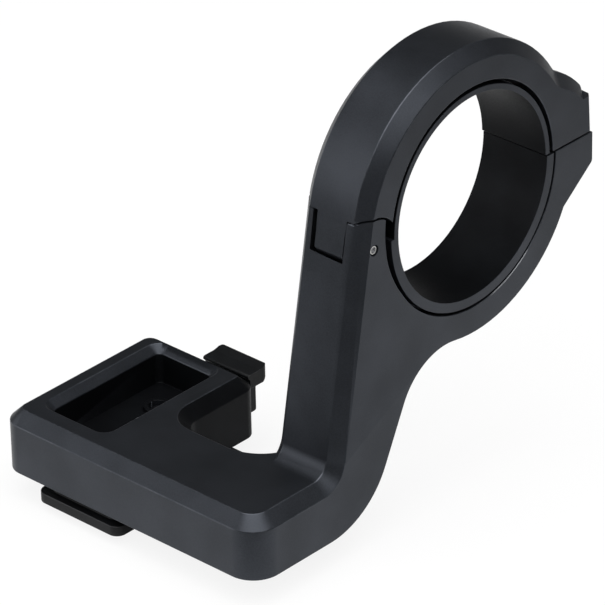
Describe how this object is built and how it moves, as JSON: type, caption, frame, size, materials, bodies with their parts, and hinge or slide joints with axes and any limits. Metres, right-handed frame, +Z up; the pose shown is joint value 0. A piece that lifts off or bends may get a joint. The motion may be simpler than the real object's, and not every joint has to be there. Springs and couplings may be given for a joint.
{
  "type": "under-stem light mount",
  "caption": "Hinged bar clamp on a leaning arm, with a pocketed tray and a quick-release slide rail that carries a bicycle light under the stem.",
  "frame": {"origin": "middle of the clamp bore, on its axis and half way across the ring", "axes": "+X along the handlebar, away from the tray; +Y from the hinge to the clamp bolt; +Z up, from the tray to the ring"},
  "size_m": [0.0499, 0.0723, 0.0694],
  "materials": {
    "black_anodised": "satin black anodised",
    "black_nylon": "moulded, matt black",
    "bright_steel": "bright",
    "black_steel": "black oxide"
  },
  "bodies": {
    "bracket": {"bracket_frame": "black_anodised", "bar_shim": "black_anodised", "hinge_pin": "bright_steel", "slide_rail": "black_nylon", "rail_screw_left_front": "black_steel", "rail_screw_left_rear": "black_steel", "rail_screw_right_front": "black_steel", "rail_screw_right_rear": "black_steel", "lever_pin": "bright_steel", "lever_spring": "bright_steel"},
    "cap": {"clamp_cap": "black_anodised"},
    "bolt": {"clamp_bolt": "black_steel"},
    "lever": {"release_lever": "black_nylon"}
  },
  "joints": [
    {"name": "cap_hinge", "type": "hinge", "parent": "bracket", "child": "cap", "pos_m": [0, -0.0209, 0], "axis": [1, 0, 0], "range_deg": [0, 70]},
    {"name": "bolt_slide", "type": "slide", "parent": "cap", "child": "bolt", "axis": [0, 0, 1], "range_m": [0, 0.005]},
    {"name": "lever_hinge", "type": "hinge", "parent": "bracket", "child": "lever", "pos_m": [-0.0292, -0.0214, -0.0445], "axis": [1, 0, 0], "range_deg": [-7, 0], "stiffness_Nm_per_rad": 0.05, "springref_deg": 8.59, "deforming": ["lever_spring"]}
  ]
}
